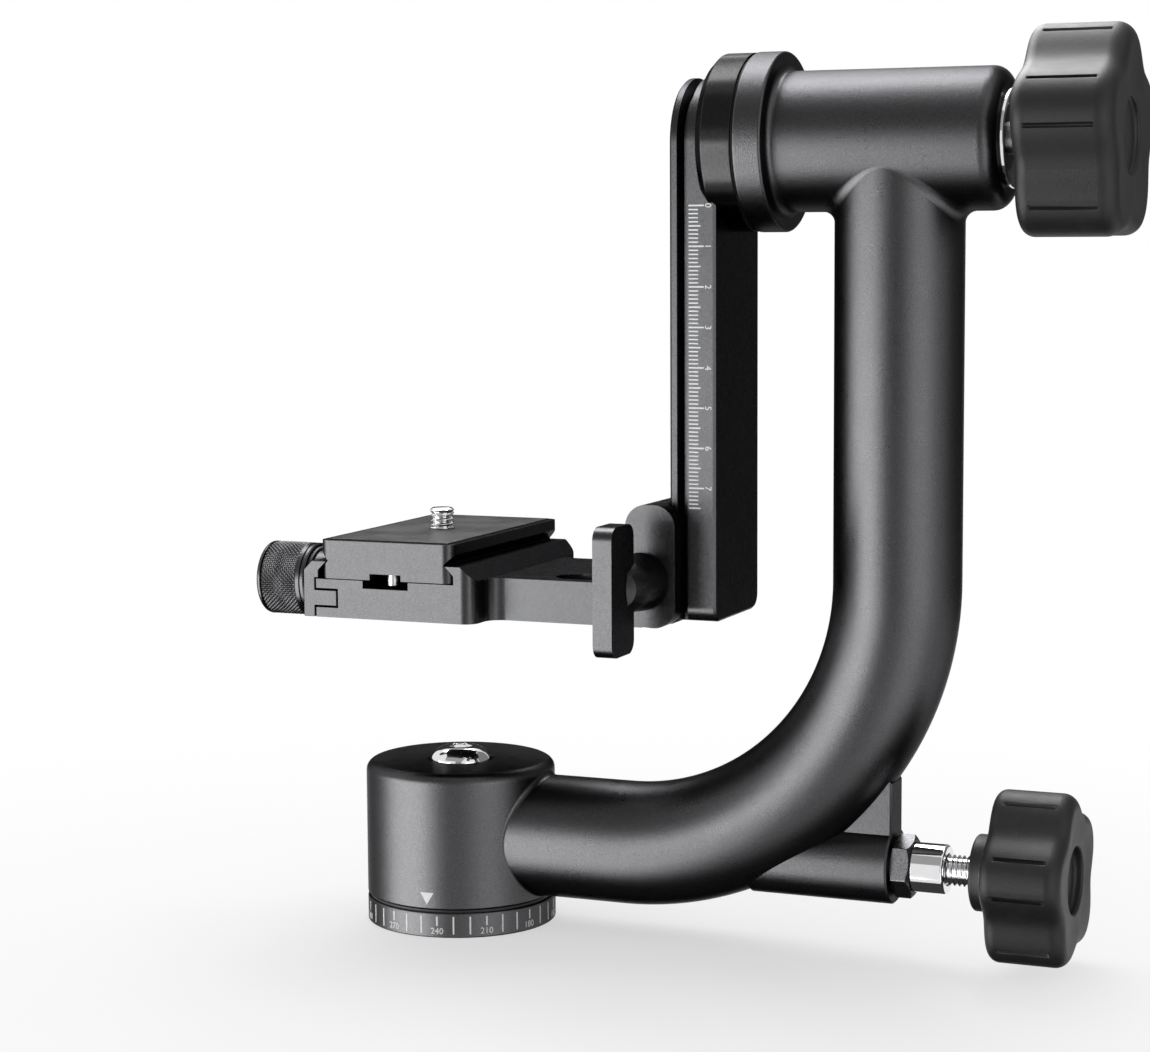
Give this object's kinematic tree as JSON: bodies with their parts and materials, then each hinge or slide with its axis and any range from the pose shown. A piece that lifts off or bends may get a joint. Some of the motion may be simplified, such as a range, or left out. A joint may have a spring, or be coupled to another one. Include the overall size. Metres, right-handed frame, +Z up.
{
  "type": "gimbal tripod head",
  "caption": "Side-mount gimbal head for long lenses: a panning base carries a bent tubular arm whose upper pivot swings a ruled dovetail rail with a sliding quick-release platform.",
  "frame": {"origin": "mouth of the tripod socket, at the middle of the base's underside", "axes": "+Z up along the pan axis, +X along the bent arm towards the lock knobs, -Y towards the viewer of the picture"},
  "size_m": [0.2353, 0.0825, 0.2316],
  "materials": {
    "casting": "fine-grained charcoal powder coat",
    "machined": "satin black anodised",
    "disc": "polished black anodised",
    "knob": "matt black hard rubber",
    "handle": "semi-gloss black anodised",
    "pad": "black rubber sheet",
    "dark_washer": "black nylon",
    "brake": "plain brass",
    "dark_steel": "black oxide steel",
    "bright": "bright chrome plate",
    "steel": "plain turned steel"
  },
  "bodies": {
    "base": {"base_plate": "casting", "tripod_insert": "steel", "dial_washer": "dark_washer", "pan_inner_race_lower": "steel", "pan_inner_race_upper": "steel", "pan_brake_drum": "steel", "pan_axle_washer": "steel", "pan_axle_screw": "bright"},
    "arm": {"pan_housing": "casting", "pan_bearing_lower": "steel", "pan_bearing_upper": "steel", "pan_spacer": "steel", "bent_tube": "casting", "lock_boss": "casting", "lock_nut": "dark_steel", "lock_collar": "bright", "pivot_barrel": "casting", "swing_bearing_left": "steel", "swing_bearing_right": "steel", "tilt_lock_bush": "bright"},
    "swing": {"rail": "machined", "rail_bolt": "dark_steel", "rail_screw_front": "dark_steel", "rail_screw_rear": "dark_steel", "rail_stop_screw": "dark_steel", "swing_disc": "disc", "swing_washer": "dark_washer", "swing_axle": "steel", "swing_spacer": "steel", "swing_inner_race_left": "steel", "swing_inner_race_right": "steel", "swing_retaining_ring": "steel"},
    "pan_brake": {"pan_brake_pad": "brake", "pan_push_rod": "steel"},
    "pan_knob": {"pan_knob": "knob", "pan_knob_stud": "steel"},
    "tilt_brake": {"tilt_brake_pad": "brake"},
    "tilt_knob": {"tilt_knob": "knob", "tilt_knob_stud": "steel"},
    "platform": {"platform_arm": "machined", "guide_pin_lower": "steel", "guide_pin_upper": "steel"},
    "rail_jaw": {"rail_jaw": "machined"},
    "rail_handle": {"rail_handle": "handle", "rail_clamp_screw": "steel"},
    "plate_jaw": {"plate_jaw": "machined"},
    "plate_knob": {"plate_knob": "handle", "plate_knob_washer": "dark_washer", "plate_knob_screw": "steel"},
    "release_plate": {"release_plate": "machined", "plate_pad": "pad", "plate_stop_screw_front": "steel", "plate_stop_screw_rear": "steel"},
    "camera_screw": {"camera_screw": "bright"}
  },
  "joints": [
    {"name": "pan_turn", "type": "hinge", "parent": "base", "child": "arm", "pos_m": [0, 0, 0], "axis": [0, 0, 1], "continuous": true},
    {"name": "swing_turn", "type": "hinge", "parent": "arm", "child": "swing", "pos_m": [0.1, 0, 0.2048], "axis": [1, 0, 0], "continuous": true},
    {"name": "pan_brake_slide", "type": "slide", "parent": "arm", "child": "pan_brake", "axis": [1, 0, 0], "range_m": [0, 0.00187]},
    {"name": "pan_knob_turn", "type": "hinge", "parent": "pan_brake", "child": "pan_knob", "pos_m": [0.15, 0, 0.024], "axis": [1, 0, 0], "range_deg": [0, 541]},
    {"name": "tilt_brake_slide", "type": "slide", "parent": "arm", "child": "tilt_brake", "axis": [1, 0, 0], "range_m": [0, 0.00187]},
    {"name": "tilt_knob_turn", "type": "hinge", "parent": "tilt_brake", "child": "tilt_knob", "pos_m": [0.16, 0, 0.2048], "axis": [1, 0, 0], "range_deg": [0, 541]},
    {"name": "platform_slide", "type": "slide", "parent": "swing", "child": "platform", "axis": [0, 0, 1], "range_m": [0, 0.074]},
    {"name": "rail_jaw_slide", "type": "slide", "parent": "platform", "child": "rail_jaw", "axis": [0, -1, 0], "range_m": [0, 0.002]},
    {"name": "rail_handle_turn", "type": "hinge", "parent": "rail_jaw", "child": "rail_handle", "pos_m": [0.0612, -0.03, 0.096], "axis": [0, -1, 0], "range_deg": [0, 721]},
    {"name": "plate_jaw_slide", "type": "slide", "parent": "platform", "child": "plate_jaw", "axis": [-1, 0, 0], "range_m": [0, 0.003]},
    {"name": "plate_knob_turn", "type": "hinge", "parent": "plate_jaw", "child": "plate_knob", "pos_m": [-0.05, 0, 0.0894], "axis": [-1, 0, 0], "range_deg": [0, 1081]},
    {"name": "plate_slide", "type": "slide", "parent": "platform", "child": "release_plate", "axis": [0, 1, 0], "range_m": [-0.02, 0.02]},
    {"name": "camera_screw_turn", "type": "hinge", "parent": "release_plate", "child": "camera_screw", "pos_m": [-0.0047, 0, 0.1], "axis": [0, 0, 1], "continuous": true}
  ],
  "couplings": [
    {"joint": "pan_knob_turn", "follows": "pan_brake_slide", "rad_per_m": 5026.5},
    {"joint": "tilt_knob_turn", "follows": "tilt_brake_slide", "rad_per_m": 5026.5},
    {"joint": "rail_handle_turn", "follows": "rail_jaw_slide", "rad_per_m": 6283.2},
    {"joint": "plate_knob_turn", "follows": "plate_jaw_slide", "rad_per_m": 6283.2}
  ]
}
